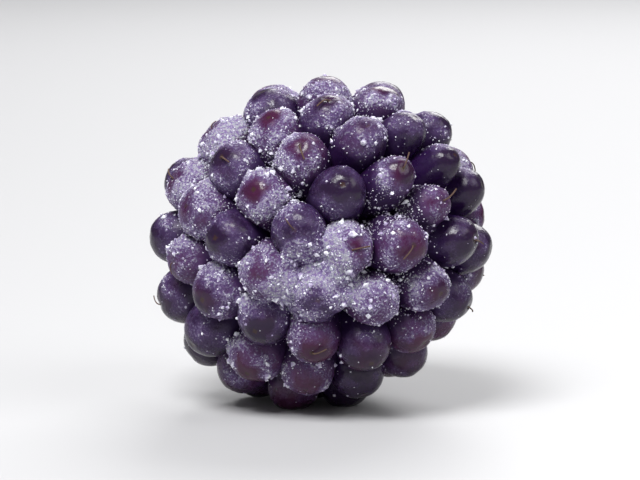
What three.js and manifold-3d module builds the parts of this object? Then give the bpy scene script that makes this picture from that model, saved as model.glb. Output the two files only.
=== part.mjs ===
// A bramble berry, picked and lying on its side: a head of drupelets grown round a pale receptacle.
// Millimetres, +Z up. The origin is under the middle of the berry, on the surface it lies on.
//
// The drupelets share the head like cells. Each one has a growth vector from the middle of the head,
// and it owns every direction in which its own vector reaches furthest. The skin is raised along each
// direction by a round profile of that reach: a full crown in the middle of a cell, a crease where two
// cells meet and a pit where three do. The bare end of the receptacle is the one wide cell of its own.
import * as THREE from 'three';
import { ConvexHull } from 'three/addons/math/ConvexHull.js';
import { mergeVertices } from 'three/addons/utils/BufferGeometryUtils.js';
import Module from 'manifold-3d';

// Outer size of the head, crown to crown.
const HEAD_WIDTH = 24;
const TIP_REACH = 13.9;
const STEM_REACH = 13.0;
const TIP_ROUNDNESS = 1.9;
const STEM_ROUNDNESS = 2.3;

// A slight unevenness round the head: its height, and the lobes and turns of its two waves.
const SIDE_WAVE = 0.012;
const SIDE_WAVES = [
  { lobes: 2, turn: 0.7 },
  { lobes: 3, turn: 2.1 },
];

// The drupelets: their number, their full-grown size and how much smaller they are round the tip.
const DRUPELET_COUNT = 88;
const DRUPELET_RADIUS = 2.75;
const CROWN_RISE = 3.1;
const TIP_SHRINK = 0.3;
const TIP_SHRINK_ANGLE = 0.62;

// Past this share of its radius a drupelet's flank runs straight down into the crease.
const STEEPEST = 0.93;

// Lengths of the growth vectors: a longer one has a wider cell and a fuller crown.
const FULLEST_REACH = 1;
const REACH_SPREAD = 0.0045;

// How they are laid out: a golden-angle spiral, shaken a little and evened out again.
const LAYOUT_SEED = 23;
const GOLDEN_ANGLE = Math.PI * (3 - Math.sqrt(5));
const SPIRAL_STEPS = 2000;
const SHAKE = 0.26;
const EVENING_ROUNDS = 6;
const EVENING_STRENGTH = 0.22;

// Area of a six-sided cell whose neighbours lie 1 apart.
const HEXAGON_AREA = Math.sqrt(3) / 2;

// The bare stem end: a shallow disc with the hollow scar of the stalk.
const STEM_ANGLE = 0.36;
const DISC_REACH = 9.3;
const DISC_SHARE = 0.86;
const SCAR_DEPTH = 0.9;
const SCAR_SHARE = 0.45;

// How it lies: the way the tip points, and the lift and roll at which three crowns are equally low.
const DEGREE = Math.PI / 180;
const TIP_HEADING = -38 * DEGREE;
const TIP_LIFT = 29.7 * DEGREE;
const ROLL = 20.2 * DEGREE;

// How much of its lowest crowns is cut off level, so that it rests on three small flats.
const REST_FLAT = 0.25;

// Rows of triangles from the middle of a cell to its rim, and how close two corners are to be one.
const ROWS = 4;
const MERGE_DISTANCE = 1e-4;

const SKIN_COLOUR = 0x33203f;
const SKIN_ROUGHNESS = 0.45;

const AXIS = new THREE.Vector3(0, 0, 1);

// Repeatable random numbers from 0 to 1.
function seededRandom(seed) {
  let state = seed >>> 0;
  return () => {
    state = (state + 0x6d2b79f5) >>> 0;
    let mixed = Math.imul(state ^ (state >>> 15), state | 1);
    mixed = (mixed + Math.imul(mixed ^ (mixed >>> 7), mixed | 61)) ^ mixed;
    return ((mixed ^ (mixed >>> 14)) >>> 0) / 2 ** 32;
  };
}

// Size of a drupelet at an angle from the tip, as a share of a full-grown one.
function growth(angle) {
  return 1 - TIP_SHRINK * Math.exp(-((angle / TIP_SHRINK_ANGLE) ** 2));
}

// The angles from the tip at which the spiral's turns lie, so that small drupelets sit closer together.
function spiralAngles(count) {
  const lastAngle = Math.PI - STEM_ANGLE;
  const filled = [0];
  for (let step = 0; step < SPIRAL_STEPS; step += 1) {
    const angle = (step + 0.5) / SPIRAL_STEPS * lastAngle;
    filled.push(filled[step] + Math.sin(angle) / growth(angle) ** 2);
  }
  const angles = [];
  let step = 0;
  for (let index = 0; index < count; index += 1) {
    const wanted = (index + 0.5) / count * filled[SPIRAL_STEPS];
    while (filled[step + 1] < wanted) {
      step += 1;
    }
    const within = (wanted - filled[step]) / (filled[step + 1] - filled[step]);
    angles.push((step + within) / SPIRAL_STEPS * lastAngle);
  }
  return angles;
}

function angleFromTip(direction) {
  return Math.acos(THREE.MathUtils.clamp(direction.dot(AXIS), -1, 1));
}

// One growth vector for each drupelet, and a last one for the bare stem end.
function growthVectors() {
  const random = seededRandom(LAYOUT_SEED);
  const meanSpacing = Math.sqrt(4 * Math.PI / DRUPELET_COUNT / HEXAGON_AREA);
  const directions = spiralAngles(DRUPELET_COUNT).map((angle, index) => {
    const direction = new THREE.Vector3().setFromSphericalCoords(1, angle, index * GOLDEN_ANGLE);
    direction.set(direction.x, direction.z, direction.y);
    const shake = new THREE.Vector3(random() - 0.5, random() - 0.5, random() - 0.5);
    return direction.addScaledVector(shake, SHAKE * meanSpacing).normalize();
  });
  for (let round = 0; round < EVENING_ROUNDS; round += 1) {
    evenOut(directions, meanSpacing);
  }
  const vectors = directions.map((direction) => {
    return direction.clone().multiplyScalar(FULLEST_REACH - REACH_SPREAD * random());
  });
  const rimReach = Math.cos(meanSpacing / 2) / Math.cos(STEM_ANGLE);
  vectors.push(AXIS.clone().multiplyScalar(-rimReach));
  return vectors;
}

// Pushes close neighbours apart, and all of them out of the stem end.
function evenOut(directions, meanSpacing) {
  const pushes = directions.map(() => new THREE.Vector3());
  const between = new THREE.Vector3();
  directions.forEach((direction, index) => {
    const wanted = meanSpacing * growth(angleFromTip(direction));
    directions.forEach((other, otherIndex) => {
      between.subVectors(direction, other);
      const distance = between.length();
      if (otherIndex !== index && distance < wanted) {
        pushes[index].addScaledVector(between, EVENING_STRENGTH * (wanted - distance) / distance);
      }
    });
    const pastRim = angleFromTip(direction) - (Math.PI - STEM_ANGLE - wanted / 2);
    if (pastRim > 0) {
      pushes[index].addScaledVector(AXIS, pastRim);
    }
  });
  directions.forEach((direction, index) => direction.add(pushes[index]).normalize());
}

// Distance from the middle to the head's outline in one direction.
function outlineReach(direction) {
  const along = direction.dot(AXIS);
  const across = Math.sqrt(Math.max(0, 1 - along * along));
  const reach = along > 0 ? TIP_REACH : STEM_REACH;
  const roundness = along > 0 ? TIP_ROUNDNESS : STEM_ROUNDNESS;
  const sum = (across / (HEAD_WIDTH / 2)) ** roundness + (Math.abs(along) / reach) ** roundness;
  const heading = Math.atan2(direction.y, direction.x);
  const waves = SIDE_WAVES.map(({ lobes, turn }) => Math.cos(lobes * heading + turn));
  const wave = across * waves.reduce((total, height) => total + height);
  return sum ** (-1 / roundness) * (1 + SIDE_WAVE * wave);
}

// Height of the skin over the drupelets' roots, from 1 at a crown down to about 0 in a pit.
function profile(offset) {
  if (offset < STEEPEST) {
    return Math.sqrt(1 - offset * offset);
  }
  const edge = Math.sqrt(1 - STEEPEST * STEEPEST);
  return edge - STEEPEST / edge * (offset - STEEPEST);
}

// A point of the drupelets' skin, from its direction and the vector whose cell it is in.
function skinPoint(direction, vector) {
  const size = growth(angleFromTip(direction));
  const outline = outlineReach(direction);
  const offset = Math.sqrt(Math.max(0, 2 * (FULLEST_REACH - direction.dot(vector))));
  const height = profile(offset * outline / (DRUPELET_RADIUS * size));
  return direction.clone().multiplyScalar(outline - CROWN_RISE * size * (1 - height));
}

// A point of the bare stem end: a level disc with a scar, sloping at its edge to the crease round it.
function stemPoint(rimPoint, share) {
  const rimLevel = -rimPoint.dot(AXIS);
  const slope = THREE.MathUtils.smoothstep(share, DISC_SHARE, 1);
  const scar = SCAR_DEPTH * (1 - THREE.MathUtils.smoothstep(share, 0, SCAR_SHARE));
  const level = THREE.MathUtils.lerp(DISC_REACH - scar, rimLevel, slope);
  const across = rimPoint.clone().addScaledVector(AXIS, rimLevel);
  return across.multiplyScalar(share).addScaledVector(AXIS, -level);
}

// The triangles between the vectors' ends, each with the outward corner direction of its three cells.
function hullFaces(vectors) {
  const hull = new ConvexHull().setFromPoints(vectors);
  const numberOf = new Map(vectors.map((vector, index) => [vector, index]));
  return hull.faces.map((face) => {
    const ends = [face.edge, face.edge.next, face.edge.prev].map((edge) => numberOf.get(edge.vertex.point));
    return { ends, corner: face.normal.clone().normalize() };
  });
}

// Every cell as fan triangles: its own middle and two neighbouring corners, anticlockwise from outside.
function cellFans(vectors) {
  const cornerLeftOf = new Map();
  hullFaces(vectors).forEach((face) => {
    face.ends.forEach((end, place) => {
      cornerLeftOf.set(`${end},${face.ends[(place + 1) % 3]}`, face.corner);
    });
  });
  const fans = [];
  cornerLeftOf.forEach((leftCorner, key) => {
    const [cell, neighbour] = key.split(',').map(Number);
    const rightCorner = cornerLeftOf.get(`${neighbour},${cell}`);
    fans.push({ cell, from: rightCorner, to: leftCorner });
  });
  return fans;
}

// The rows of a fan lie closer together towards the crease, where the skin is steep.
function rowShare(row) {
  return Math.sin(row / ROWS * Math.PI / 2);
}

function fanPoint(vector, fan, isStem, row, place) {
  const middle = vector.clone().normalize();
  const along = row === 0 ? 0 : place / row;
  const rim = fan.from.clone().lerp(fan.to, along).normalize();
  if (isStem) {
    return stemPoint(skinPoint(rim, vector), rowShare(row));
  }
  return skinPoint(middle.lerp(rim, rowShare(row)).normalize(), vector);
}

// The corners of all the triangles of the closed skin, in the head's own frame with the tip up.
function skinTriangles(vectors) {
  const corners = [];
  cellFans(vectors).forEach((fan) => {
    const isStem = fan.cell === vectors.length - 1;
    const at = (row, place) => fanPoint(vectors[fan.cell], fan, isStem, row, place);
    for (let row = 0; row < ROWS; row += 1) {
      for (let place = 0; place <= row; place += 1) {
        corners.push(at(row, place), at(row + 1, place), at(row + 1, place + 1));
        if (place < row) {
          corners.push(at(row, place), at(row + 1, place + 1), at(row, place + 1));
        }
      }
    }
  });
  return corners;
}

// The closed skin of the head, rolled, tipped over and turned to the way the berry lies.
function lyingSkin() {
  const geometry = new THREE.BufferGeometry().setFromPoints(skinTriangles(growthVectors()));
  geometry.rotateZ(ROLL);
  geometry.rotateY(Math.PI / 2 - TIP_LIFT);
  geometry.rotateZ(TIP_HEADING);
  return mergeVertices(geometry, MERGE_DISTANCE);
}

// Cuts a closed geometry off level, at a height above its lowest point.
async function cutLevel(geometry, height) {
  const wasm = await Module();
  wasm.setup();
  geometry.computeBoundingBox();
  const vertProperties = geometry.attributes.position.array;
  const triVerts = Uint32Array.from(geometry.index.array);
  const whole = new wasm.Manifold(new wasm.Mesh({ numProp: 3, vertProperties, triVerts }));
  const cut = whole.trimByPlane([0, 0, 1], geometry.boundingBox.min.z + height).getMesh();
  const result = new THREE.BufferGeometry();
  result.setAttribute('position', new THREE.BufferAttribute(cut.vertProperties, 3));
  result.setIndex(new THREE.BufferAttribute(cut.triVerts, 1));
  return result;
}

// Puts the origin under the middle of the geometry, level with its lowest point.
function standOnOrigin(geometry) {
  geometry.computeBoundingBox();
  const middle = geometry.boundingBox.getCenter(new THREE.Vector3());
  geometry.translate(-middle.x, -middle.y, -geometry.boundingBox.min.z);
}

const skin = new THREE.MeshStandardMaterial({
  color: SKIN_COLOUR,
  roughness: SKIN_ROUGHNESS,
  metalness: 0,
});

const head = await cutLevel(lyingSkin(), REST_FLAT);
standOnOrigin(head);
const berry = new THREE.Mesh(head, skin);
berry.name = 'berry';

const part = new THREE.Group();
part.add(berry);

export default part;
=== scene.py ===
"""A frozen bramble berry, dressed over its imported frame.

The head of drupelets is one skin raised from a sphere of cells by a node tree. Each drupelet has a growth
vector and owns the directions in which its own vector reaches furthest, as in the frame's own solid.
"""

import math

import bmesh
import bpy
import numpy as np
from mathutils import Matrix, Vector


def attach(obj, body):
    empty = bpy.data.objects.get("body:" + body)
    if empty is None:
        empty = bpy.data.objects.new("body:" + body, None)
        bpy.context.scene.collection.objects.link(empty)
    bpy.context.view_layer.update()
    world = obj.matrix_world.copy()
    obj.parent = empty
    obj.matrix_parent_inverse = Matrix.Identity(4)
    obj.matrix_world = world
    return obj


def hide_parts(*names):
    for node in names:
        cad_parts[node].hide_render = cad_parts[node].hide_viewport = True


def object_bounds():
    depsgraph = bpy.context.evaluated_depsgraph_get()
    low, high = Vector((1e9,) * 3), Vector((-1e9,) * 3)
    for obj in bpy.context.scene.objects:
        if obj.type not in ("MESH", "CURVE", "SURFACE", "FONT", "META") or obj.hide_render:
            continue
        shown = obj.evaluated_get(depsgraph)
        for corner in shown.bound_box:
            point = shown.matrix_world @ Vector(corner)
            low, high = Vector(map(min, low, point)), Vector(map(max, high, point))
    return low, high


bl_info = {
    "name": "Frozen Bramble Berry",
    "version": (1, 0, 0),
    "blender": (4, 5, 0),
    "location": "3D View > Sidebar > Berry",
    "description": "Grows a frozen bramble berry with its drupelets, bare stem end, frost and dry styles",
    "category": "Object",
}

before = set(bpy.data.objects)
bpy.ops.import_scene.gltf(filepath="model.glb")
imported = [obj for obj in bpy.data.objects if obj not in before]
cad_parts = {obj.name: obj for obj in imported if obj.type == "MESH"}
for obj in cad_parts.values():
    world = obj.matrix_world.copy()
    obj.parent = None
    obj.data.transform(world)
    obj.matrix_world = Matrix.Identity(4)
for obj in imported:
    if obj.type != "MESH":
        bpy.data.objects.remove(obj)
CAD_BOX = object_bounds()

MM = 0.001
BERRY_NODE = "berry"

# The drupelets' layout, as in the frame: it draws the same random numbers in the same order. It is worked
# out on a unit sphere, with angles in radians. The shake is a share of the mean spacing. The hexagon is the
# cell of a honeycomb whose middles are 1 apart.
DRUPELET_COUNT = 88
LAYOUT_SEED = 23
GOLDEN_ANGLE = math.pi * (3 - math.sqrt(5))
HEXAGON_AREA = math.sqrt(3) / 2
SPIRAL_STEPS = 2000
SHAKE = 0.26
EVENING_ROUNDS = 6
EVENING_STRENGTH = 0.22
OUT_OF_TOUCH = 10.0
FULLEST_REACH = 1.0
REACH_SPREAD = 0.0045
STEM_ANGLE = 0.36
TIP_SHRINK = 0.3
TIP_SHRINK_ANGLE = 0.62
AXIS = np.array([0.0, 0.0, 1.0])

# The random numbers: all 32 bits of one, and the step from each to the next.
WORD = 0xFFFFFFFF
DRAW_STEP = 0x6D2B79F5

# The seeds of what is scattered over the skin.
FINE_SEED = 5
COARSE_SEED = 105
STYLE_SEED = 12

# The head: its waves, each with its lobes and its turn in radians, the cuts in each edge of its mesh, the
# height of its middle, and the gap over the ground in which it bears no frost.
SIDE_WAVES = ((2.0, 0.7), (3.0, 2.1))
FAN_CUTS = 17
HEAD_MIDDLE = (CAD_BOX[0][2] + CAD_BOX[1][2]) / 2
GROUND_GAP = 0.3 * MM

# A drupelet has one chance from 0 to 1. Times one of these, its fraction serves as another.
CROWN_MIXER = 5.7
BALD_MIXER = 7.3

# Noise scales, in bumps a metre, but the last two in bumps a radian.
SKIN_BUMPS = 380.0
SKIN_MOTTLE = 600.0
SKIN_PORES = 1500.0
SKIN_GRAINS = 5200.0
PITH_GRAINS = 4200.0
PITH_FROST = 900.0
ICE_TINTS = 2500.0
STYLE_STREAKS = 3000.0
FROST_DRIFTS = 190.0
FROST_CLUMPS = 720.0
PATCH_RAGS = 420.0
FIBRES_OUTWARD = 400.0
FIBRES_ROUND = 8.0
DENT_LEAN = 9.0


# ---- Small helpers for node trees ----


class Field:
    """A socket of a node tree that can be written into sums like a number."""

    def __init__(self, tree, socket):
        self.tree = tree
        self.socket = socket

    def __add__(self, other):
        return step("ADD", self, other)

    def __radd__(self, other):
        return step("ADD", other, self)

    def __sub__(self, other):
        return step("SUBTRACT", self, other)

    def __rsub__(self, other):
        return step("SUBTRACT", other, self)

    def __mul__(self, other):
        return step("MULTIPLY", self, other)

    def __rmul__(self, other):
        return step("MULTIPLY", other, self)

    def __truediv__(self, other):
        return step("DIVIDE", self, other)

    def __rtruediv__(self, other):
        return step("DIVIDE", other, self)


VECTOR_STEPS = {"DOT_PRODUCT", "LENGTH", "NORMALIZE"}
NUMBER_RESULTS = {"DOT_PRODUCT", "LENGTH"}


def is_vector(value):
    """True for a vector socket and for a plain tuple of three."""
    if isinstance(value, Field):
        return value.socket.type == "VECTOR"
    return isinstance(value, (tuple, Vector))


def feed(socket, value):
    """Sets an input socket to a number, a vector or the result of another node."""
    if isinstance(value, Field):
        value.tree.links.new(value.socket, socket)
    elif socket.type == "VECTOR" and not is_vector(value):
        socket.default_value = (value, value, value)
    else:
        socket.default_value = value


def add_node(tree, kind, inputs=None, **settings):
    """Adds a node, with its settings and its inputs by name or place."""
    node = tree.nodes.new(kind)
    for name, value in settings.items():
        setattr(node, name, value)
    for place, value in (inputs or {}).items():
        feed(node.inputs[place], value)
    return node


def out(tree, node, place=0):
    return Field(tree, node.outputs[place])


def result(tree, kind, inputs=None, **settings):
    """The first output of a new node."""
    return out(tree, add_node(tree, kind, inputs, **settings))


def step(operation, *values):
    """One step of arithmetic on numbers or vectors, at least one of them from a node."""
    tree = next(value.tree for value in values if isinstance(value, Field))
    vectors = operation in VECTOR_STEPS or any(is_vector(value) for value in values)
    kind = "ShaderNodeVectorMath" if vectors else "ShaderNodeMath"
    node = add_node(tree, kind, dict(enumerate(values)), operation=operation)
    return out(tree, node, 1 if operation in NUMBER_RESULTS else 0)


def blend(share, low, high):
    """low where share is 0 and high where it is 1."""
    return low + (high - low) * share


def ramp(value, start, end):
    """A smooth rise from 0 at start to 1 at end, which may also lie below start."""
    inputs = {"Value": value, "From Min": start, "From Max": end}
    return result(value.tree, "ShaderNodeMapRange", inputs, interpolation_type="SMOOTHSTEP")


def separate(vector):
    """The three numbers of a vector."""
    node = add_node(vector.tree, "ShaderNodeSeparateXYZ", {0: vector})
    return [out(vector.tree, node, place) for place in range(3)]


def combine(tree, x=0.0, y=0.0, z=0.0):
    """A vector from three numbers."""
    return result(tree, "ShaderNodeCombineXYZ", {0: x, 1: y, 2: z})


def noise(position, scale, detail=2.0, roughness=0.5):
    """Smooth noise from about 0 to 1; scale is in bumps a metre."""
    inputs = {"Vector": position, "Scale": scale, "Detail": detail, "Roughness": roughness}
    return result(position.tree, "ShaderNodeTexNoise", inputs)


def new_geometry_tree(name, inputs):
    """A geometry node tree with a geometry in and out and the named inputs; gives it and its input fields."""
    tree = bpy.data.node_groups.new(name, "GeometryNodeTree")
    tree.interface.new_socket("Geometry", in_out="INPUT", socket_type="NodeSocketGeometry")
    tree.interface.new_socket("Geometry", in_out="OUTPUT", socket_type="NodeSocketGeometry")
    for label, kind in inputs.items():
        tree.interface.new_socket(label, in_out="INPUT", socket_type=kind)
    source = tree.nodes.new("NodeGroupInput")
    fields = {socket.name: Field(tree, socket) for socket in source.outputs if socket.name}
    return tree, fields


def sockets(kind, *labels):
    """Named inputs of one kind."""
    return dict.fromkeys(labels, "NodeSocket" + kind)


def named(tree, name, kind="FLOAT"):
    """A stored attribute, read inside a geometry tree."""
    return result(tree, "GeometryNodeInputNamedAttribute", {"Name": name}, data_type=kind)


def store(geometry, name, value, kind="FLOAT"):
    """Stores a value on the geometry under a name."""
    inputs = {"Geometry": geometry, "Name": name, "Value": value}
    return result(geometry.tree, "GeometryNodeStoreNamedAttribute", inputs, data_type=kind)


def finish_tree(geometry, material):
    """Ends a tree in Realize Instances and Set Material."""
    tree = geometry.tree
    real = result(tree, "GeometryNodeRealizeInstances", {"Geometry": geometry})
    painted = result(tree, "GeometryNodeSetMaterial", {"Geometry": real, "Material": material})
    add_node(tree, "NodeGroupOutput", {0: painted})


def tree_values(inputs, *groups, **others):
    """Values for a tree's inputs: one of the others, or else the setting of the same name in a group."""
    values = {}
    for label, kind in inputs.items():
        name = label.lower().replace(" ", "_")
        settings = [getattr(group, name) for group in groups if hasattr(group, name)]
        value = others[name] if name in others else settings[0]
        values[label] = tuple(value) if kind == "NodeSocketVector" else value
    return values


def add_object(name, data):
    """Puts a new object in the scene."""
    item = bpy.data.objects.new(name, data)
    bpy.context.scene.collection.objects.link(item)
    return item


def to_mesh(name, shape):
    """Turns a bmesh into a mesh and frees it."""
    mesh = bpy.data.meshes.new(name)
    shape.to_mesh(mesh)
    shape.free()
    return mesh


def grow(name, source, tree, values):
    """Runs a tree on a mesh and gives the result as a plain mesh."""
    work = add_object(name, source)
    modifier = work.modifiers.new(name, "NODES")
    modifier.node_group = tree
    for item in tree.interface.items_tree:
        if item.in_out == "INPUT" and item.name in values:
            modifier[item.identifier] = values[item.name]
    depsgraph = bpy.context.evaluated_depsgraph_get()
    depsgraph.update()
    evaluated = work.evaluated_get(depsgraph)
    result = bpy.data.meshes.new_from_object(evaluated, preserve_all_data_layers=True, depsgraph=depsgraph)
    result.name = name
    bpy.data.objects.remove(work)
    return result


# ---- Where the drupelets sit ----


def seeded_random(seed):
    """Gives a function that draws repeatable random numbers from 0 to 1."""
    state = seed & WORD

    def draw():
        nonlocal state
        state = (state + DRAW_STEP) & WORD
        mixed = ((state ^ (state >> 15)) * (state | 1)) & WORD
        mixed = ((mixed + (mixed ^ (mixed >> 7)) * (mixed | 61)) & WORD) ^ mixed
        return (mixed ^ (mixed >> 14)) / (WORD + 1)

    return draw


def size_at(angle):
    """Size of a drupelet at an angle from the tip, as a share of a full-grown one."""
    return 1 - TIP_SHRINK * np.exp(-((angle / TIP_SHRINK_ANGLE) ** 2))


def spiral_angles(count):
    """The angles from the tip at which the spiral's turns lie: small drupelets sit closer together."""
    last_angle = math.pi - STEM_ANGLE
    middles = (np.arange(SPIRAL_STEPS) + 0.5) / SPIRAL_STEPS * last_angle
    filled = np.concatenate(([0.0], np.cumsum(np.sin(middles) / size_at(middles) ** 2)))
    wanted = (np.arange(count) + 0.5) / count * filled[-1]
    return np.interp(wanted, filled, np.linspace(0, last_angle, SPIRAL_STEPS + 1))


def angle_from_tip(directions):
    return np.arccos(np.clip(directions @ AXIS, -1, 1))


def even_out(directions, mean_spacing):
    """Pushes close neighbours apart, and all of them out of the stem end."""
    wanted = mean_spacing * size_at(angle_from_tip(directions))
    between = directions[:, None, :] - directions[None, :, :]
    distance = np.linalg.norm(between, axis=2)
    np.fill_diagonal(distance, OUT_OF_TOUCH)
    overlap = np.maximum(wanted[:, None] - distance, 0)
    pushes = (between * (EVENING_STRENGTH * overlap / distance)[:, :, None]).sum(axis=1)
    past_rim = angle_from_tip(directions) - (math.pi - STEM_ANGLE - wanted / 2)
    pushes += np.maximum(past_rim, 0)[:, None] * AXIS
    moved = directions + pushes
    return moved / np.linalg.norm(moved, axis=1, keepdims=True)


def growth_vectors():
    """One growth vector for each drupelet, and a last one for the bare stem end."""
    draw = seeded_random(LAYOUT_SEED)
    mean_spacing = math.sqrt(4 * math.pi / DRUPELET_COUNT / HEXAGON_AREA)
    directions = []
    for index, angle in enumerate(spiral_angles(DRUPELET_COUNT)):
        turn = index * GOLDEN_ANGLE
        across = math.sin(angle)
        middle = np.array([across * math.sin(turn), across * math.cos(turn), math.cos(angle)])
        shake = np.array([draw() - 0.5, draw() - 0.5, draw() - 0.5])
        moved = middle + shake * SHAKE * mean_spacing
        directions.append(moved / np.linalg.norm(moved))
    directions = np.array(directions)
    for _ in range(EVENING_ROUNDS):
        directions = even_out(directions, mean_spacing)
    reaches = np.array([FULLEST_REACH - REACH_SPREAD * draw() for _ in directions])
    stem = -AXIS * math.cos(mean_spacing / 2) / math.cos(STEM_ANGLE)
    return np.vstack([directions * reaches[:, None], stem])


def cell_fans():
    """A closed mesh of fans on the unit sphere, one round the middle of each cell, cut up finely."""
    vectors = growth_vectors()
    hull = bmesh.new()
    ends = [hull.verts.new(vector) for vector in vectors]
    hull.verts.index_update()
    bmesh.ops.convex_hull(hull, input=ends)
    bmesh.ops.recalc_face_normals(hull, faces=hull.faces)
    hull.normal_update()
    fans = bmesh.new()
    share = fans.verts.layers.float.new("share")
    growth = fans.faces.layers.float_vector.new("growth")
    chance = fans.faces.layers.float.new("chance")
    bare = fans.faces.layers.float.new("bare")
    draw = seeded_random(LAYOUT_SEED + 1)
    chances = [draw() for _ in vectors]
    middles = [fans.verts.new(Vector(vector).normalized()) for vector in vectors]
    corners = {face: fans.verts.new(face.normal.normalized()) for face in hull.faces}
    for corner in corners.values():
        corner[share] = 1.0
    for face in hull.faces:
        for loop in face.loops:
            cell = loop.vert.index
            right = loop.link_loop_radial_next.face
            fan = fans.faces.new((middles[cell], corners[right], corners[face]))
            fan[growth] = vectors[cell]
            fan[chance] = chances[cell]
            fan[bare] = float(cell == DRUPELET_COUNT)
    hull.free()
    bmesh.ops.subdivide_edges(fans, edges=fans.edges[:], cuts=FAN_CUTS, use_grid_fill=True)
    return to_mesh("cell_fans", fans)


# ---- The head of drupelets ----


HEAD_INPUTS = {
    **sockets("Float", "Head Width", "Tip Reach", "Stem Reach", "Tip Roundness", "Stem Roundness"),
    **sockets("Float", "Side Wave", "Drupelet Radius", "Crown Rise", "Steepest", "Crown Spread"),
    **sockets("Float", "Dent Depth", "Unevenness", "Style Dimple", "Disc Reach", "Disc Share"),
    **sockets("Float", "Scar Depth", "Scar Share", "Disc Sink", "Fibre Relief"),
    **sockets("Float", "Roll", "Tip Lift", "Tip Heading", "Rest Flat", "Frost Cover"),
    **sockets("Vector", "Frost Side", "Drift Shift", "Rime Patch"),
    **sockets("Float", "Crust", "Bridge"),
    **sockets("Material", "Material"),
}

# Where a feature fades in, as the start and end of a ramp. The name tells what the ramp runs on: a
# drupelet's chance, the share of the way from its crown to its rim, or the frost on it.
DENTED_CHANCE = (0.7, 1.0)
DIMPLE_SHARE = (0.22, 0.0)
FIBRE_SHARE = (0.0, 0.3)
BALD_SHARE = (0.15, 0.6)
CREASE_SHARE = (0.7, 1.0)
RIM_SHARE = (0.85, 1.0)
CRUST_FROST = (0.45, 1.1)
BRIDGE_FROST = (0.75, 1.3)
PATCH_NEARNESS = (0.95, 0.982)

# The share under which a point is the crown itself, how suddenly the bare end's disc meets its rim, and the
# mark over which all that is round a point is bare.
CROWN_SHARE = 0.001
RIM_POWER = 4.0
ALL_BARE = 0.999

# What each thing adds to the frost, the least that a crown loses and what chance takes more of it, how far
# thick frost fills a crease, and how ragged the rime patch is.
SIDE_FROST = 0.26
# The slope frost is partly frost and partly painted light on each drupelet's side that faces the frost side.
SLOPE_FROST_AND_LIGHT = 0.14
DRIFT_FROST = 1.5
CLUMP_FROST = 1.8
CHANCE_FROST = 0.7
PATCH_FROST = 0.6
LEAST_BALD = 0.35
MORE_BALD = 0.6
FROST_BRIDGE = 0.45
RAGGEDNESS = 0.08


def outline_reach(direction, given):
    """Distance from the middle to the head's outline in one direction."""
    x, y, along = separate(direction)
    across = step("SQRT", step("MAXIMUM", 1 - along * along, 0.0))
    tipward = step("GREATER_THAN", along, 0.0)
    reach = blend(tipward, given["Stem Reach"], given["Tip Reach"])
    roundness = blend(tipward, given["Stem Roundness"], given["Tip Roundness"])
    side = step("POWER", across / (given["Head Width"] * 0.5), roundness)
    end = step("POWER", step("ABSOLUTE", along) / reach, roundness)
    heading = step("ARCTAN2", y, x)
    wave = across * sum(step("COSINE", heading * lobes + turn) for lobes, turn in SIDE_WAVES)
    return step("POWER", side + end, -1.0 / roundness) * (wave * given["Side Wave"] + 1.0)


def drupelet_size(direction):
    """Size of the drupelet in one direction, as a share of a full-grown one."""
    angle = step("ARCCOSINE", separate(direction)[2])
    return 1.0 - step("EXPONENT", (angle / TIP_SHRINK_ANGLE) * (angle / -TIP_SHRINK_ANGLE)) * TIP_SHRINK


def skin_reach(direction, growth, given):
    """How far the skin reaches along a direction, and its depth: 0 at a crown and about 0.8 in a pit."""
    size = drupelet_size(direction)
    outline = outline_reach(direction, given)
    lack = step("MAXIMUM", FULLEST_REACH - step("DOT_PRODUCT", direction, growth), 0.0)
    offset = step("SQRT", lack * 2.0) * outline / (given["Drupelet Radius"] * size)
    steepest = given["Steepest"]
    crown = step("SQRT", step("MAXIMUM", 1.0 - offset * offset, 0.0))
    edge = step("SQRT", 1.0 - steepest * steepest)
    crease = edge - steepest / edge * (offset - steepest)
    height = blend(step("LESS_THAN", offset, steepest), crease, crown)
    depth = 1.0 - height
    return outline - given["Crown Rise"] * size * depth, depth


def radial_fibres(flat_place):
    """Streaks that run out from the middle of the bare end, from 0 to 1."""
    outward = step("NORMALIZE", flat_place)
    along = combine(flat_place.tree, z=step("LENGTH", flat_place) * FIBRES_OUTWARD)
    return noise(outward * FIBRES_ROUND + along, 1.0, detail=3.0, roughness=0.6)


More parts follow.
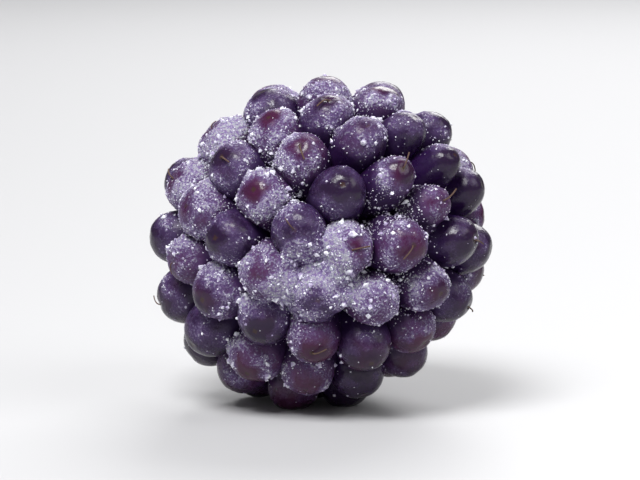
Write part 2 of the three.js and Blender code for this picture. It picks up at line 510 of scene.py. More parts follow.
def head_tree():
    """Raises the drupelets and the bare stem end from the fans, lays the head down and marks its frost."""
    tree, given = new_geometry_tree("Berry head", HEAD_INPUTS)
    growth = named(tree, "growth", "FLOAT_VECTOR")
    share, chance, bare = (named(tree, name) for name in ("share", "chance", "bare"))
    place = result(tree, "GeometryNodeInputPosition")

    middle = step("NORMALIZE", growth)
    some_share = step("MAXIMUM", share, CROWN_SHARE)
    eased = step("SINE", share * (math.pi / 2))
    direction = step("NORMALIZE", middle + (place - middle) * (eased / some_share))
    rim = step("NORMALIZE", middle + (place - middle) * (1.0 / some_share))

    reach, depth = skin_reach(direction, growth, given)
    inside = step("MAXIMUM", 1.0 - eased * eased, 0.0)
    prouder = step("FRACT", chance * CROWN_MIXER) * 2.0 - 1.0
    reach = reach + given["Crown Spread"] * prouder * inside
    dented = ramp(chance, *DENTED_CHANCE) * inside * inside
    reach = reach - given["Dent Depth"] * dented * noise(direction, DENT_LEAN, detail=0.0)
    reach = reach + given["Unevenness"] * (noise(direction * reach, SKIN_BUMPS) * 2.0 - 1.0)
    reach = reach - given["Style Dimple"] * ramp(eased, *DIMPLE_SHARE)
    drupelet = direction * reach

    rim_point = rim * skin_reach(rim, growth, given)[0]
    rim_x, rim_y, rim_z = separate(rim_point)
    slope = ramp(eased, given["Disc Share"], 1.0)
    hollow = given["Scar Depth"] * ramp(eased, given["Scar Share"], 0.0)
    flat_place = combine(tree, rim_x * eased, rim_y * eased)
    fibres = (radial_fibres(flat_place) - 0.5) * (1.0 - slope) * ramp(eased, *FIBRE_SHARE)
    sunk = given["Disc Sink"] * (1.0 - step("POWER", eased, RIM_POWER))
    level = blend(slope, given["Disc Reach"] - hollow + given["Fibre Relief"] * fibres, rim_z * -1.0) - sunk
    disc = combine(tree, rim_x * eased, rim_y * eased, level * -1.0)

    marked = store(given["Geometry"], "depth", depth)
    marked = store(marked, "flat_place", flat_place, "FLOAT_VECTOR")
    shaped = blend(step("GREATER_THAN", bare, ALL_BARE), drupelet, disc)
    lying = result(tree, "GeometryNodeSetPosition", {"Geometry": marked, "Position": shaped})
    roll = combine(tree, z=given["Roll"])
    lean = combine(tree, y=math.pi / 2 - given["Tip Lift"])
    heading = combine(tree, z=given["Tip Heading"])
    for turn in (roll, lean, heading):
        lying = result(tree, "GeometryNodeTransform", {"Geometry": lying, "Rotation": turn})

    box = add_node(tree, "GeometryNodeBoundBox", {"Geometry": lying})
    low, high = out(tree, box, 1), out(tree, box, 2)
    centre = (low + high) * 0.5
    x, y, z = separate(place - centre)
    ground = separate(low - centre)[2] + given["Rest Flat"]
    set_down = combine(tree, x, y, step("MAXIMUM", z - ground, 0.0))
    resting = result(tree, "GeometryNodeSetPosition", {"Geometry": lying, "Position": set_down})

    facing = result(tree, "GeometryNodeInputNormal")
    patch = rime_patch(place, given)
    frost = frost_cover(place, facing, eased, chance, given) + patch * PATCH_FROST
    marked = store(resting, "frost", frost)
    marked = store(marked, "patch", patch)
    marked = store(marked, "share", eased)
    on_flank = 1.0 - ramp(named(tree, "share"), *RIM_SHARE)
    frosty = ramp(named(tree, "frost"), *BRIDGE_FROST) * FROST_BRIDGE
    in_crease = ramp(named(tree, "share"), *CREASE_SHARE) * step("MAXIMUM", named(tree, "patch"), frosty)
    crust = ramp(named(tree, "frost"), *CRUST_FROST) * on_flank * given["Crust"] + in_crease * given["Bridge"]
    offset = facing * crust * height_above(place, GROUND_GAP) * (1.0 - bare)
    crusted = result(tree, "GeometryNodeSetPosition", {"Geometry": marked, "Offset": offset})
    smooth = result(tree, "GeometryNodeSetShadeSmooth", {"Geometry": crusted})
    finish_tree(smooth, given["Material"])
    return tree


def frost_cover(place, facing, eased, chance, given):
    """How much frost lies on the skin: most on one side, on the flanks of the drupelets and in drifts, and as
    painted light on each drupelet's side that faces the frost side.
    """
    outward = step("NORMALIZE", place - (0.0, 0.0, HEAD_MIDDLE))
    windward = step("NORMALIZE", given["Frost Side"])
    side = step("DOT_PRODUCT", outward, windward) * SIDE_FROST
    # Partly frost and partly painted light: each drupelet is whiter on its side that faces the frost side, up
    # and to the front left, where the key light falls.
    slope = step("DOT_PRODUCT", facing, windward) * SLOPE_FROST_AND_LIGHT
    drifts = (noise(place + given["Drift Shift"], FROST_DRIFTS) - 0.5) * DRIFT_FROST
    clumps = (noise(place, FROST_CLUMPS, roughness=0.55) - 0.5) * CLUMP_FROST
    crown = 1.0 - ramp(eased, *BALD_SHARE)
    bald = crown * (step("FRACT", chance * BALD_MIXER) * MORE_BALD + LEAST_BALD)
    return given["Frost Cover"] + (side + slope) + drifts + clumps - bald + (chance - 0.5) * CHANCE_FROST


def rime_patch(place, given):
    """1 inside the ragged patch of thick rime, 0 outside it."""
    outward = step("NORMALIZE", place - (0.0, 0.0, HEAD_MIDDLE))
    nearness = step("DOT_PRODUCT", outward, step("NORMALIZE", given["Rime Patch"]))
    return ramp(nearness + (noise(place, PATCH_RAGS) - 0.5) * RAGGEDNESS, *PATCH_NEARNESS)


# ---- Ice grains and dry styles ----


GRAIN_INPUTS = {
    **sockets("Float", "Grain Density", "Bare Density", "Smallest Grain", "Largest Grain"),
    **sockets("Int", "Seed"),
    **sockets("Material", "Material"),
}

# Where ice grains come in with the frost and stop short of the creases, how much commoner the small ones
# are, the least and the most that one is stretched, and the refraction and roughness of ice.
GRAIN_FROST = (0.3, 1.1)
GRAIN_RIM = (0.9, 1.0)
SMALL_GRAINS = 3.0
LEAST_STRETCH = (0.6, 0.6, 0.6)
MOST_STRETCH = (1.2, 1.2, 1.7)
ICE_INDEX = 1.31
FINE_ROUGHNESS = 0.45
COARSE_ROUGHNESS = 0.12


def random_value(tree, low, high, seed):
    """A random number for each point, or a random vector where low and high are vectors."""
    kind, place, source = ("FLOAT_VECTOR", 0, 0) if is_vector(low) else ("FLOAT", 2, 1)
    inputs = {place: low, place + 1: high, "Seed": seed}
    return out(tree, add_node(tree, "FunctionNodeRandomValue", inputs, data_type=kind), source)


def height_above(place, gap):
    """1 where a point is more than a gap above the ground, else 0."""
    return step("GREATER_THAN", separate(place)[2], gap)


def grain_tree():
    """Scatters six-sided ice grains where the skin is frosty, and a few on bare skin."""
    tree, given = new_geometry_tree("Ice grains", GRAIN_INPUTS)
    place = result(tree, "GeometryNodeInputPosition")
    seed = given["Seed"]
    density = blend(ramp(named(tree, "frost"), *GRAIN_FROST), given["Bare Density"], given["Grain Density"])
    density = density * (1.0 - ramp(named(tree, "share"), *GRAIN_RIM)) * height_above(place, GROUND_GAP)
    spread = {"Mesh": given["Geometry"], "Density": density, "Seed": seed}
    points = result(tree, "GeometryNodeDistributePointsOnFaces", spread)
    grain = result(tree, "GeometryNodeMeshUVSphere", {"Segments": 6, "Rings": 2, "Radius": 1.0})
    size = step("POWER", random_value(tree, 0.0, 1.0, seed + 1), SMALL_GRAINS)
    width = blend(size, given["Smallest Grain"], given["Largest Grain"])
    stretch = random_value(tree, LEAST_STRETCH, MOST_STRETCH, seed + 2)
    turn = random_value(tree, (0.0, 0.0, 0.0), (math.pi, math.pi, math.pi), seed + 3)
    grains = {"Points": points, "Instance": grain, "Rotation": turn, "Scale": stretch * width}
    finish_tree(result(tree, "GeometryNodeInstanceOnPoints", grains), given["Material"])
    return tree


STYLE_INPUTS = {
    **sockets("Float", "Style Share", "Style Length", "Style Radius", "Style Gap"),
    **sockets("Material", "Material"),
}

# A style's root, bend and tip, along and across in lengths and up in rises, with its rise as a share of its
# length. Its radius goes from the first share at its root to the second at its tip.
STYLE_BOW = {"Start": (0.0, 0.0, -0.6), "Middle": (0.05, 0.0, 1.5), "End": (1.0, 0.25, 0.55)}
STYLE_RISE = 0.28
STYLE_TAPER = (1.1, 0.45)
STYLE_SIZES = (0.7, 1.3)
STYLE_STEPS = 9
STYLE_SIDES = 6


def style_tree():
    """Sets a bent dry thread on the crown of some drupelets, with its root sunk in the skin."""
    tree, given = new_geometry_tree("Dry styles", STYLE_INPUTS)
    place = result(tree, "GeometryNodeInputPosition")
    on_crown = step("LESS_THAN", named(tree, "share"), CROWN_SHARE) * (1.0 - named(tree, "bare"))
    chosen = step("LESS_THAN", random_value(tree, 0.0, 1.0, STYLE_SEED), given["Style Share"])
    reach = given["Style Length"]
    rise = reach * STYLE_RISE
    bow = {"Resolution": STYLE_STEPS}
    for label, (along, across, up) in STYLE_BOW.items():
        bow[label] = combine(tree, reach * along, reach * across, rise * up)
    curve = result(tree, "GeometryNodeCurveQuadraticBezier", bow)
    ring = {"Resolution": STYLE_SIDES, "Radius": given["Style Radius"]}
    profile = result(tree, "GeometryNodeCurvePrimitiveCircle", ring)
    taper = {"Curve": curve, "Radius": blend(result(tree, "GeometryNodeSplineParameter"), *STYLE_TAPER)}
    tapered = result(tree, "GeometryNodeSetCurveRadius", taper)
    swept = {"Curve": tapered, "Profile Curve": profile, "Fill Caps": True}
    thread = result(tree, "GeometryNodeCurveToMesh", swept)
    facing = {"Vector": result(tree, "GeometryNodeInputNormal")}
    upright = result(tree, "FunctionNodeAlignRotationToVector", facing, axis="Z")
    spin = combine(tree, z=random_value(tree, 0.0, 2 * math.pi, STYLE_SEED + 1))
    threads = {
        "Points": given["Geometry"],
        "Selection": on_crown * chosen * height_above(place, given["Style Gap"]),
        "Instance": thread,
        "Rotation": result(tree, "FunctionNodeRotateRotation", {0: upright, 1: spin}, rotation_space="LOCAL"),
        "Scale": random_value(tree, *STYLE_SIZES, STYLE_SEED + 2),
    }
    finish_tree(result(tree, "GeometryNodeInstanceOnPoints", threads), given["Material"])
    return tree


# ---- Finishes ----


FIBRE_BROWN = (0.20, 0.13, 0.10)
SCAR_BROWN = (0.09, 0.045, 0.025)
JUICE_RED = (0.17, 0.045, 0.085)
STYLE_STREAK = (0.12, 0.062, 0.040)
BUMP_HEIGHT = 0.15 * MM

# Where each layer of the skin fades in, how strong it gets, and how far the noise makes its edge ragged.
WINE_FADE = (0.3, 0.9)
WINE_RAGS = 0.9
# The crease layer is painted shade in the creases and pits between drupelets.
CREASE_SHADE_FADE = (0.38, 0.72)
CREASE_SHADE_STRENGTH = 0.9
STYLE_FADE = (0.1, 0.05)
STYLE_RAGS = 0.08
STYLE_STRENGTH = 0.8
HAZE_FADE = (-0.1, 1.0)
HAZE_RAGS = 0.6
HAZE_STRENGTH = 0.6
FROST_FADE = (0.4, 0.95)
FROST_RAGS = 2.2
FROST_STRENGTH = 0.92
RIME_FADE = (0.3, 1.1)
RIME_RAGS = 2.8
RIME_STRENGTH = 0.6

# The frost beyond which rime gets no thicker, and how much of the haze and the frost the painted crease shade
# takes away.
MOST_RIME = 1.15
HAZE_LOST_TO_CREASE_SHADE = 0.85
FROST_LOST_TO_CREASE_SHADE = 0.8

# How rough the skin is under haze, bare and frosted, and how high each sort of its bumps stands.
HAZE_ROUGHENING = 0.7
SKIN_ROUGHNESS = (0.22, 0.7)
GRAIN_BUMPS = (0.1, 0.95)
PORE_BUMPS = 0.45
MOTTLE_BUMPS = 0.2

# The bare stem end. The scar, the juice and the rim fade in at shares of the scar's or the pith's radius.
FIBRE_FADE = (0.3, 0.7)
FIBRE_RAGS = 2.2 * MM
GRAIN_RAGS = 0.8 * MM
SCAR_FADE = (1.0, 0.4)
SCAR_RAGS = 0.4
JUICE_FADE = (0.55, 0.95)
RIM_FADE = (0.85, 1.15)
PITH_FROST_FADE = (0.5, 0.75)
PITH_FROST_RAGS = 0.8
PITH_FROST_STRENGTH = 0.5
PITH_ROUGHNESS = (0.45, 0.8)
PITH_BUMPS = 0.6

# How the ice grains go from the greyest to the whitest.
ICE_FADE = (0.35, 0.65)

FLOOR_ROUGHNESS = 0.65


# What is the same all over a finish, by the name of the shader's socket.
EVEN_SKIN = {
    "Specular IOR Level": 0.34,
    "Subsurface Weight": 0.12,
    "Subsurface Scale": 0.9 * MM,
    "Subsurface Radius": (1.0, 0.3, 0.5),
}
EVEN_PITH = {"Subsurface Weight": 0.25, "Subsurface Scale": 0.8 * MM}
EVEN_STYLE = {"Roughness": 0.7}


def new_finish(name, even):
    """A material with a Principled shader; what is the same all over is set on the shader's own sockets."""
    material = bpy.data.materials.new(name)
    material.use_nodes = True
    shader = material.node_tree.nodes["Principled BSDF"]
    for label, value in even.items():
        shader.inputs[label].default_value = value
    return material, shader


def surface_place(material):
    """Object coordinates, in metres."""
    tree = material.node_tree
    return out(tree, tree.nodes.new("ShaderNodeTexCoord"), 3)


def attribute(material, name, vector=False):
    """A number or vector stored on the mesh."""
    tree = material.node_tree
    node = add_node(tree, "ShaderNodeAttribute", attribute_name=name)
    return out(tree, node, 1 if vector else 2)


def mix_colours(share, low, high):
    """The low colour where share is 0 and the high one where it is 1."""
    low, high = (value if isinstance(value, Field) else (*value, 1.0) for value in (low, high))
    node = add_node(share.tree, "ShaderNodeMix", {0: share, 6: low, 7: high}, data_type="RGBA")
    return out(share.tree, node, 2)


def relief(height, distance):
    """A bump from a height field of about 0 to 1; distance is its full height in metres."""
    return result(height.tree, "ShaderNodeBump", {"Height": height, "Distance": distance, "Strength": 1.0})


def drupelet_finish(berry, frosting):
    """Dark juicy skin, part blue-black and part wine red, under a thin haze and grainy drifts of frost;
    painted shade darkens its creases and pits.
    """
    material, shader = new_finish("drupelet skin", EVEN_SKIN)
    place = surface_place(material)
    share, chance, frost = (attribute(material, name) for name in ("share", "chance", "frost"))

    grains = noise(place, SKIN_GRAINS, detail=3.0, roughness=0.65)
    mottle = noise(place, SKIN_MOTTLE, detail=3.0)

    wine = ramp(chance + (mottle - 0.5) * WINE_RAGS, *WINE_FADE)
    ripe = mix_colours(wine, berry.ripe_colour, berry.wine_colour)
    # Painted shade: creases and pits darken towards the crease colour and lose their haze and frost, except
    # in the rime patch.
    painted_crease_shade = ramp(attribute(material, "depth"), *CREASE_SHADE_FADE) * (1.0 - attribute(material, "patch"))
    creased = mix_colours(painted_crease_shade * CREASE_SHADE_STRENGTH, ripe, berry.crease_shade_colour)
    style_spot = ramp(share + (grains - 0.5) * STYLE_RAGS, *STYLE_FADE) * STYLE_STRENGTH
    skin = mix_colours(style_spot, creased, frosting.style_colour)
    haze = ramp(frost + (grains - 0.5) * HAZE_RAGS, *HAZE_FADE)
    hazy = mix_colours(haze * (1.0 - painted_crease_shade * HAZE_LOST_TO_CREASE_SHADE) * HAZE_STRENGTH, skin, frosting.haze_colour)
    grainy = ramp(frost + (grains - 0.5) * FROST_RAGS - painted_crease_shade * FROST_LOST_TO_CREASE_SHADE, *FROST_FADE)
    rime = step("MINIMUM", frost, MOST_RIME) * RIME_STRENGTH + (grains - 0.5) * RIME_RAGS
    white = mix_colours(ramp(rime, *RIME_FADE), frosting.frost_colour, frosting.rime_colour)
    feed(shader.inputs["Base Color"], mix_colours(grainy * FROST_STRENGTH, hazy, white))
    rough = step("MAXIMUM", grainy, haze * HAZE_ROUGHENING)
    feed(shader.inputs["Roughness"], blend(rough, *SKIN_ROUGHNESS))
    pores = noise(place, SKIN_PORES)
    bumps = grains * blend(grainy, *GRAIN_BUMPS) + pores * PORE_BUMPS + mottle * MOTTLE_BUMPS
    feed(shader.inputs["Normal"], relief(bumps, BUMP_HEIGHT))
    return material


def radii(radius, shares):
    """The start and end of a fade, as shares of a radius."""
    return [radius * share for share in shares]


def receptacle_finish(berry, frosting):
    """Pale fibrous pith of the bare stem end, brown in the stalk's scar and stained by juice at its rim."""
    material, shader = new_finish("receptacle flesh", EVEN_PITH)
    place = surface_place(material)
    flat_place = attribute(material, "flat_place", vector=True)
    spread = step("LENGTH", flat_place)
    streaks = radial_fibres(flat_place)
    grain = noise(place, PITH_GRAINS, detail=4.0, roughness=0.65)
    ragged = (streaks - 0.5) * FIBRE_RAGS + (grain - 0.5) * GRAIN_RAGS

    pith = mix_colours(ramp(streaks, *FIBRE_FADE), FIBRE_BROWN, berry.pith_colour)
    in_scar = ramp(spread + ragged * SCAR_RAGS, *radii(berry.scar_radius, SCAR_FADE))
    scar = mix_colours(in_scar, pith, SCAR_BROWN)
    tinted = mix_colours(ramp(spread + ragged, *radii(berry.pith_radius, JUICE_FADE)), scar, JUICE_RED)
    at_rim = ramp(spread + ragged, *radii(berry.pith_radius, RIM_FADE))
    stained = mix_colours(at_rim, tinted, berry.ripe_colour)
    frosted = ramp(grain + (noise(place, PITH_FROST) - 0.5) * PITH_FROST_RAGS, *PITH_FROST_FADE)
    frosty = mix_colours(frosted * PITH_FROST_STRENGTH, stained, frosting.rime_colour)
    feed(shader.inputs["Base Color"], frosty)
    feed(shader.inputs["Roughness"], blend(grain, *PITH_ROUGHNESS))
    feed(shader.inputs["Normal"], relief(grain * PITH_BUMPS + streaks, BUMP_HEIGHT))
    return material


def crystal_finish(frosting, name, roughness):
    """Glossy ice, lavender grey to nearly white from grain to grain."""
    material, shader = new_finish(name, {"Roughness": roughness, "IOR": ICE_INDEX})
    glint = ramp(noise(surface_place(material), ICE_TINTS), *ICE_FADE)
    tint = mix_colours(glint, frosting.grain_colour, frosting.glint_colour)
    feed(shader.inputs["Base Color"], tint)
    return material


def style_finish(settings):
    """Dry threads with paler streaks."""
    material, shader = new_finish("dry styles", EVEN_STYLE)
    streaks = noise(surface_place(material), STYLE_STREAKS)
    feed(shader.inputs["Base Color"], mix_colours(streaks, settings.style_colour, STYLE_STREAK))
    return material


def floor_finish(settings):
    """Even and matt."""
    even = {"Base Color": (*settings.floor_colour, 1.0), "Roughness": FLOOR_ROUGHNESS}
    return new_finish("studio floor", even)[0]


# ---- Sizes and colours that a user would change ----


def number(name, description, default, **kind):
    return bpy.props.FloatProperty(name=name, description=description, default=default, **kind)


def length(name, description, default):
    return number(name, description, default, unit="LENGTH", precision=5)


def angle(name, description, default):
    return number(name, description, default, unit="ROTATION")


def vector(name, description, default, **kind):
    return bpy.props.FloatVectorProperty(name=name, description=description, default=default, **kind)


def direction(name, description, default):
    return vector(name, description, default, subtype="DIRECTION")


def colour(name, description, default):
    return vector(name, description, default, subtype="COLOR", min=0.0, max=1.0)


class BerrySettings(bpy.types.PropertyGroup):
    """Shape and colours of the head and its bare stem end."""

    head_width: length("Head Width", "Width across the head's outline", 24 * MM)
    tip_reach: length("Tip Reach", "From the head's middle to its tip", 13.9 * MM)
    stem_reach: length("Stem Reach", "From the head's middle to its stem end", 13 * MM)
    tip_roundness: number("Tip Roundness", "2 is a round tip, less a pointed one", 1.9)
    stem_roundness: number("Stem Roundness", "2 is a round stem end, more a blunter one", 2.3)
    side_wave: number("Side Wave", "Unevenness round the head, as a share of its width", 0.012)
    drupelet_radius: length("Drupelet Radius", "Half width of a full-grown drupelet", 2.75 * MM)
    crown_rise: length("Crown Rise", "How far a drupelet's crown stands out", 3.1 * MM)
    steepest: number("Steepest", "Share of the drupelet's radius past which its flank runs straight", 0.93)
    crown_spread: length("Crown Spread", "How much prouder or flatter a crown may be", 0.28 * MM)
    dent_depth: length("Dent Depth", "Depth of the dents in some crowns", 0.35 * MM)
    unevenness: length("Unevenness", "Small bumps of the skin", 0.16 * MM)
    style_dimple: length("Style Dimple", "Depth of the dimple where the style grew", 0.12 * MM)
    disc_reach: length("Disc Reach", "From the head's middle to the bare stem end", 9.3 * MM)
    disc_share: number("Disc Share", "Share of the bare end that is flat", 0.86)
    scar_depth: length("Scar Depth", "Depth of the stalk's scar", 0.9 * MM)
    scar_share: number("Scar Share", "Share of the bare end that the scar fills", 0.45)
    fibre_relief: length("Fibre Relief", "Height of the streaks on the bare stem end", 0.35 * MM)
    pith_radius: length("Pith Radius", "Half width of the pale middle of the bare stem end", 2.5 * MM)
    scar_radius: length("Scar Radius", "Half width of the stalk's brown scar", 0.75 * MM)
    disc_thickness: length("Disc Thickness", "Depth of the receptacle's visible end", 1.0 * MM)
    roll: angle("Roll", "Turn of the head about its own axis", math.radians(20.2))
    tip_lift: angle("Tip Lift", "Angle of the tip above the ground", math.radians(29.7))
    tip_heading: angle("Tip Heading", "Turn of the tip about the upright", math.radians(-38))
    rest_flat: length("Rest Flat", "Depth of the flats that the berry rests on", 0.25 * MM)
    ripe_colour: colour("Ripe Skin", "Skin of a fully ripe drupelet", (0.018, 0.007, 0.030))
    wine_colour: colour("Wine Skin", "Skin of a redder drupelet", (0.050, 0.008, 0.036))
    # The crease colour is painted shade in the creases and pits between drupelets.
    crease_shade_colour: colour("Crease", "Skin between two drupelets", (0.014, 0.003, 0.034))
    pith_colour: colour("Pith", "Bare end of the receptacle", (0.42, 0.39, 0.28))


class FrostSettings(bpy.types.PropertyGroup):
    """Frost, ice grains and dry styles on the skin."""

    frost_cover: number("Frost Cover", "0 is nearly bare skin, 1 is white all over", 0.44)
    frost_side: direction("Frost Side", "The side that the frost has settled on", (-0.35, -0.20, 0.85))
    drift_shift: vector("Drift Shift", "Moves the drifts", (0.0, -0.043, -0.038), subtype="TRANSLATION")
    rime_patch: direction("Rime Patch", "Where the thickest patch of rime is", (-0.05, -1.0, -0.12))
    crust: length("Crust", "Thickness of the thickest frost", 0.12 * MM)
    bridge: length("Bridge", "Depth of the rime that fills the creases of the thickest patch", 0.8 * MM)
    bare_share: number("Bare Share", "Ice grains on bare skin, as a share of those on the frostiest", 0.02)
    fine_density: number("Fine Density", "Fine ice grains on a square metre of the frostiest skin", 1.8e7)
    fine_smallest: length("Finest Grain", "Half width of the finest ice grain", 0.03 * MM)
    fine_largest: length("Largest Fine Grain", "Half width of the largest fine grain", 0.08 * MM)
    coarse_density: number("Coarse Density", "Coarse ice grains on a square metre of the frostiest skin", 3e6)
    coarse_smallest: length("Smallest Coarse Grain", "Half width of the smallest coarse grain", 0.07 * MM)
    coarse_largest: length("Largest Coarse Grain", "Half width of the coarsest ice grain", 0.26 * MM)
    style_share: number("Style Share", "Share of the drupelets that keep a dry style", 0.28)
    style_length: length("Style Length", "Length of a dry style", 1.1 * MM)
    style_radius: length("Style Radius", "Half thickness of a dry style", 0.05 * MM)
    style_gap: length("Style Gap", "Height under which there are no dry styles", 3 * MM)
    haze_colour: colour("Haze", "Thin even frost over dark skin", (0.126, 0.066, 0.232))
    frost_colour: colour("Frost", "Thin grains of frost", (0.184, 0.120, 0.300))
    rime_colour: colour("Rime", "Thick grains of frost", (0.385, 0.39, 0.43))
    grain_colour: colour("Ice Grain", "The greyest ice grains", (0.38, 0.32, 0.50))
    glint_colour: colour("Ice Glint", "The whitest ice grains", (0.85, 0.86, 0.92))
    style_colour: colour("Dry Style", "A dry style between its paler streaks", (0.042, 0.020, 0.014))


class StageSettings(bpy.types.PropertyGroup):
    """Floor, light and camera."""

    floor_width: length("Floor Width", "Side of the floor", 1.2)
    floor_colour: colour("Floor", "Colour of the floor", (0.50, 0.50, 0.51))
    camera_lift: angle("Camera Lift", "Angle of the camera above the floor", math.radians(8))
    camera_distance: length("Camera Distance", "From the camera to the berry's middle", 0.262)
    lens: number("Lens", "Focal length in millimetres", 200.0)


# ---- The pieces ----


# The gap under which the receptacle's points are welded into one.
WELD_GAP = 0.001 * MM


def head_skin(scene, disc_sink, material=None):
    """The whole skin of the head, with its bare end pushed in by disc_sink."""
    tree = bpy.data.node_groups.get("Berry head") or head_tree()
    others = {"disc_sink": disc_sink, "material": material}
    values = tree_values(HEAD_INPUTS, scene.berry, scene.berry_frost, **others)
    return grow("head_skin", cell_fans(), tree, values)


def add_piece(name, mesh, material):
    """Links a finished mesh as a piece that stands for the berry's solid and rides on the root body."""
    mesh.name = name
    mesh.materials.clear()
    mesh.materials.append(material)
    piece = add_object(name, mesh)
    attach(piece, "root")
    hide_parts(BERRY_NODE)
    return piece


class BERRY_OT_drupelets(bpy.types.Operator):
    """Grow the head of drupelets"""

    bl_idname = "berry.drupelets"
    bl_label = "Drupelets"

    def execute(self, context):
        scene = context.scene
        finish = drupelet_finish(scene.berry, scene.berry_frost)
        mesh = head_skin(scene, scene.berry.disc_thickness / 2, finish)
        add_piece("drupelets", mesh, finish)
        return {"FINISHED"}


class BERRY_OT_receptacle(bpy.types.Operator):
    """Close the bare end of the receptacle into a disc of its own"""

    bl_idname = "berry.receptacle"
    bl_label = "Bare Stem End"

    def execute(self, context):
        scene = context.scene
        finish = receptacle_finish(scene.berry, scene.berry_frost)
        disc = bmesh.new()
        disc.from_mesh(head_skin(scene, 0.0))
        bare = disc.faces.layers.float["bare"]
        bmesh.ops.delete(disc, geom=[face for face in disc.faces if face[bare] < ALL_BARE], context="FACES")
        outward = sum((face.normal for face in disc.faces), Vector()).normalized()
        inward = outward * -scene.berry.disc_thickness
        under = bmesh.ops.duplicate(disc, geom=disc.faces[:])["geom"]
        share = disc.verts.layers.float["share"]
        for item in under:
            if isinstance(item, bmesh.types.BMVert):
                item.co += inward * (1 - item[share] ** RIM_POWER)
        bmesh.ops.reverse_faces(disc, faces=[item for item in under if isinstance(item, bmesh.types.BMFace)])
        bmesh.ops.remove_doubles(disc, verts=disc.verts, dist=WELD_GAP)
        add_piece("receptacle", to_mesh("receptacle", disc), finish)
        return {"FINISHED"}


def scatter_ice(scene, sort, seed, roughness):
    """Scatters the fine or the coarse ice grains over the skin and the bare end."""
    frost = scene.berry_frost
    name = sort + "_ice"
    finish = crystal_finish(frost, name, roughness)
    density = getattr(frost, sort + "_density")
    values = {
        "Grain Density": density,
        "Bare Density": density * frost.bare_share,
        "Smallest Grain": getattr(frost, sort + "_smallest"),
        "Largest Grain": getattr(frost, sort + "_largest"),
        "Seed": seed,
        "Material": finish,
    }
    tree = bpy.data.node_groups.get("Ice grains") or grain_tree()
    add_piece(name, grow(name, head_skin(scene, 0.0), tree, values), finish)


class BERRY_OT_fine_ice(bpy.types.Operator):
    """Scatter fine ice grains over the frosty skin"""

    bl_idname = "berry.fine_ice"
    bl_label = "Fine Ice"

    def execute(self, context):
        scatter_ice(context.scene, "fine", FINE_SEED, FINE_ROUGHNESS)
        return {"FINISHED"}


class BERRY_OT_coarse_ice(bpy.types.Operator):
    """Scatter a few coarse glossy ice grains over the frosty skin"""

    bl_idname = "berry.coarse_ice"
    bl_label = "Coarse Ice"

    def execute(self, context):
        scatter_ice(context.scene, "coarse", COARSE_SEED, COARSE_ROUGHNESS)
        return {"FINISHED"}


class BERRY_OT_dry_styles(bpy.types.Operator):
    """Set dry styles on some of the crowns"""

    bl_idname = "berry.dry_styles"
    bl_label = "Dry Styles"

    def execute(self, context):
        frost = context.scene.berry_frost
        finish = style_finish(frost)
        skin = bpy.data.objects["drupelets"].data
        mesh = grow("dry_styles", skin, style_tree(), tree_values(STYLE_INPUTS, frost, material=finish))
        mesh.shade_smooth()
        add_piece("dry_styles", mesh, finish)
        return {"FINISHED"}


# ---- The stage ----


# Each light's name, place and size in metres, and power in watts.
LIGHTS = (
    ("key light", (-0.12, -0.26, 0.44), 0.22, 3.40),
    ("fill light", (0.34, -0.20, 0.34), 0.30, 0.80),
    ("back light", (0.10, 0.36, 0.30), 0.30, 1.7),
)
WORLD_STRENGTH = 0.23
FLOOR_STEPS = 25
NEAREST_SEEN = 0.01


class BERRY_OT_stage(bpy.types.Operator):
    """Set up the floor, the light and the camera"""

    bl_idname = "berry.stage"
    bl_label = "Stage"

    def execute(self, context):
        settings = context.scene.berry_stage
        add_floor(settings)
        for light in LIGHTS:
            add_light(*light)
        add_camera(settings)
        world = bpy.data.worlds.new("studio")
        world.use_nodes = True
        background = world.node_tree.nodes["Background"]
        background.inputs["Color"].default_value = (1.0, 1.0, 1.0, 1.0)
        background.inputs["Strength"].default_value = WORLD_STRENGTH
        context.scene.world = world
        context.scene.view_settings.view_transform = "Standard"
        return {"FINISHED"}


def aim(item, target):
    """Turns a light or the camera to face a point."""
    item.rotation_euler = (Vector(target) - item.location).to_track_quat("-Z", "Y").to_euler()


def add_light(name, place, size, power):
    """A square soft light that faces the berry."""
    lamp = bpy.data.lights.new(name, "AREA")
    lamp.size = size
    lamp.energy = power
    item = add_object(name, lamp)
    item.location = place
    aim(item, (0.0, 0.0, HEAD_MIDDLE))


def add_camera(settings):
    """A long lens at the front, a little above the floor."""
    camera = bpy.data.cameras.new("camera")
    camera.lens = settings.lens
    camera.clip_start = NEAREST_SEEN
    item = add_object("camera", camera)
    reach = settings.camera_distance
    lift = settings.camera_lift
    item.location = (0.0, -reach * math.cos(lift), HEAD_MIDDLE + reach * math.sin(lift))
    aim(item, (0.0, 0.0, HEAD_MIDDLE))
    bpy.context.scene.camera = item


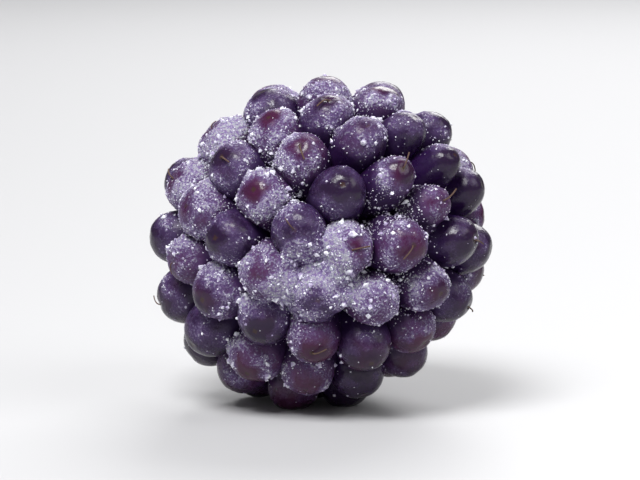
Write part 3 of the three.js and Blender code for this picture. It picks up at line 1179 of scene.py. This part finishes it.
def add_floor(settings):
    """A floor that sweeps up into a wall behind the berry."""
    half = settings.floor_width / 2
    bend = settings.floor_width / 4
    profile = [(-half, 0.0)]
    for turn in np.linspace(0, math.pi / 2, FLOOR_STEPS):
        profile.append((half + bend * math.sin(turn), bend * (1 - math.cos(turn))))
    profile.append((half + bend, settings.floor_width))
    sheet = bmesh.new()
    rows = [[sheet.verts.new((side, y, z)) for side in (-half * 3, half * 3)] for y, z in profile]
    for near, far in zip(rows, rows[1:]):
        sheet.faces.new((near[0], near[1], far[1], far[0]))
    mesh = to_mesh("floor", sheet)
    mesh.shade_smooth()
    mesh.materials.append(floor_finish(settings))
    floor = add_object("floor", mesh)


class BERRY_PT_panel(bpy.types.Panel):
    """The berry's sizes, colours and pieces"""

    bl_idname = "BERRY_PT_panel"
    bl_label = "Frozen Bramble Berry"
    bl_space_type = "VIEW_3D"
    bl_region_type = "UI"
    bl_category = "Berry"

    def draw(self, context):
        for group in (context.scene.berry, context.scene.berry_frost, context.scene.berry_stage):
            for name in group.__annotations__:
                self.layout.prop(group, name)
        for operator in PIECES:
            self.layout.operator(operator.bl_idname)


SETTINGS = {"berry": BerrySettings, "berry_frost": FrostSettings, "berry_stage": StageSettings}
PIECES = (
    BERRY_OT_drupelets,
    BERRY_OT_receptacle,
    BERRY_OT_fine_ice,
    BERRY_OT_coarse_ice,
    BERRY_OT_dry_styles,
    BERRY_OT_stage,
)


def register():
    for group in SETTINGS.values():
        bpy.utils.register_class(group)
    for name, group in SETTINGS.items():
        setattr(bpy.types.Scene, name, bpy.props.PointerProperty(type=group))
    for operator in PIECES:
        bpy.utils.register_class(operator)
    bpy.utils.register_class(BERRY_PT_panel)


def unregister():
    bpy.utils.unregister_class(BERRY_PT_panel)
    for operator in reversed(PIECES):
        bpy.utils.unregister_class(operator)
    for name in SETTINGS:
        delattr(bpy.types.Scene, name)
    for group in reversed(SETTINGS.values()):
        bpy.utils.unregister_class(group)


def main():
    register()
    bpy.ops.berry.drupelets()
    bpy.ops.berry.receptacle()
    bpy.ops.berry.fine_ice()
    bpy.ops.berry.coarse_ice()
    bpy.ops.berry.dry_styles()
    bpy.ops.berry.stage()


if __name__ == "__main__":
    main()
